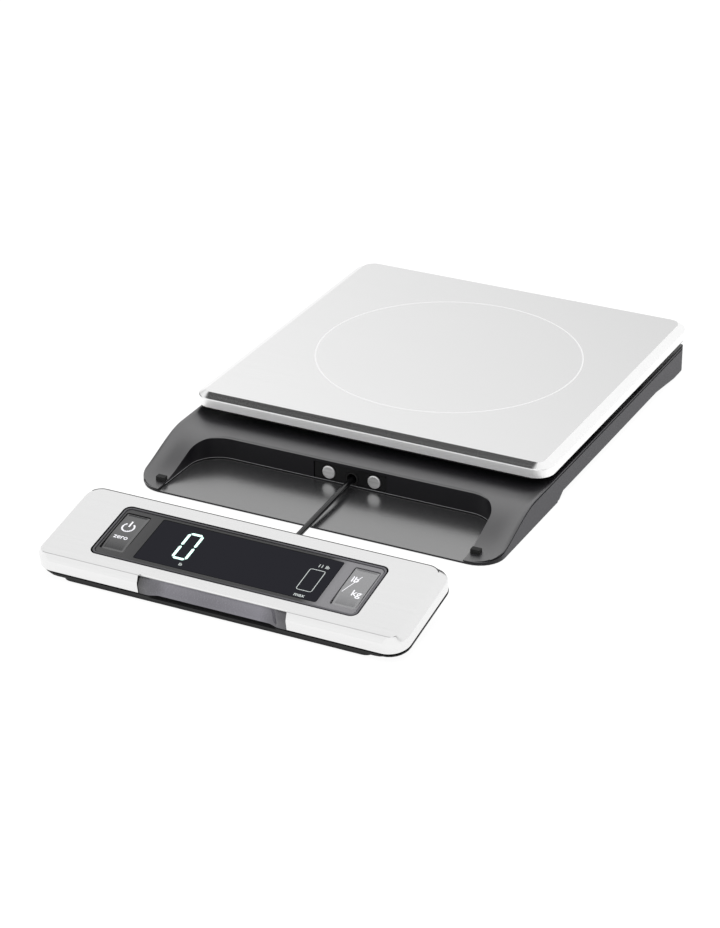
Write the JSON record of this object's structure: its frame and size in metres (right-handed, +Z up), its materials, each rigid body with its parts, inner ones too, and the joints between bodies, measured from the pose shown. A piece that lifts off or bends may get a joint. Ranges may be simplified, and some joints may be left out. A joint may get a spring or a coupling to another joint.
{
  "type": "kitchen scale",
  "caption": "Low digital kitchen scale with a square steel weighing platform and a sloped steel display that pulls out on a cord.",
  "frame": {"origin": "centre of the overall footprint, display pulled out, at the level of the counter", "axes": "+Z up; +Y from the display towards the rear of the platform, so -Y faces the user; +X to the user's right"},
  "size_m": [0.1654, 0.3034, 0.0215],
  "materials": {
    "brushed_steel": "fine straight-brushed stainless sheet",
    "textured_charcoal": "fine spark texture, satin sheen",
    "polished_charcoal": "polished",
    "black_plastic": "smooth satin black",
    "bezel_grey": "smooth dark grey",
    "window_black": "high-gloss black window",
    "rubber": "matt black rubber",
    "silicone": "translucent grey silicone",
    "circuit_board": "green solder mask",
    "nickel": "nickel plate",
    "battery_wrap": "plain printed film",
    "cord_jacket": "smooth black cord jacket"
  },
  "bodies": {
    "base": {"base_housing": "textured_charcoal", "base_bottom": "polished_charcoal", "cord_port_panel": "black_plastic", "cord_grommet": "rubber", "dock_magnet_left": "nickel", "dock_magnet_right": "nickel", "main_board": "circuit_board", "cord_coil": "cord_jacket", "cord_anchor": "black_plastic", "battery_contact_front": "nickel", "battery_contact_rear": "nickel", "dock_peg_left": "rubber", "dock_peg_right": "rubber", "battery_1": "battery_wrap", "battery_2": "battery_wrap", "battery_3": "battery_wrap", "battery_4": "battery_wrap", "load_cell_front_left": "nickel", "base_foot_front_left": "rubber", "base_screw_front_left": "nickel", "load_cell_front_right": "nickel", "base_foot_front_right": "rubber", "base_screw_front_right": "nickel", "load_cell_rear_left": "nickel", "base_foot_rear_left": "rubber", "base_screw_rear_left": "nickel", "load_cell_rear_right": "nickel", "base_foot_rear_right": "rubber", "base_screw_rear_right": "nickel"},
    "platform_support": {"platform_support": "black_plastic", "load_button_front_left": "black_plastic", "load_button_front_right": "black_plastic", "load_button_rear_left": "black_plastic", "load_button_rear_right": "black_plastic", "platform_pad_front_left": "silicone", "platform_pad_front_right": "silicone", "platform_pad_rear_left": "silicone", "platform_pad_rear_right": "silicone"},
    "platform_cover": {"platform_cover": "brushed_steel"},
    "display": {"display_cover": "brushed_steel", "display_housing": "black_plastic", "display_bezel": "bezel_grey", "display_window": "window_black", "digit_module": "black_plastic", "display_board": "circuit_board", "switch_power": "nickel", "switch_units": "nickel", "finger_grip": "bezel_grey", "display_strike_left": "nickel", "display_strike_right": "nickel", "display_strain_relief": "rubber", "cord_lead": "cord_jacket", "display_foot_front": "rubber", "display_foot_rear": "rubber"},
    "button_power": {"button_power": "black_plastic"},
    "button_units": {"button_units": "black_plastic"},
    "battery_door": {"battery_door": "polished_charcoal"}
  },
  "joints": [
    {"name": "platform_press", "type": "slide", "parent": "base", "child": "platform_support", "axis": [0, 0, -1], "range_m": [0, 0.0005], "stiffness_N_per_m": 20000},
    {"name": "platform_lift", "type": "slide", "parent": "platform_support", "child": "platform_cover", "axis": [0, 0, 1], "range_m": [0, 0.03]},
    {"name": "display_slide", "type": "slide", "parent": "base", "child": "display", "axis": [-0.0211, 0.9991, 0.0375], "range_m": [0, 0.08534], "deforming": ["cord_coil"]},
    {"name": "power_press", "type": "slide", "parent": "display", "child": "button_power", "axis": [0, 0.197, -0.9804], "range_m": [0, 0.0005], "stiffness_N_per_m": 1500},
    {"name": "units_press", "type": "slide", "parent": "display", "child": "button_units", "axis": [0, 0.197, -0.9804], "range_m": [0, 0.0005], "stiffness_N_per_m": 1500},
    {"name": "battery_door_hinge", "type": "hinge", "parent": "base", "child": "battery_door", "pos_m": [0.0324, 0.0907, 0.0005], "axis": [1, 0, 0], "range_deg": [0, 95]}
  ]
}
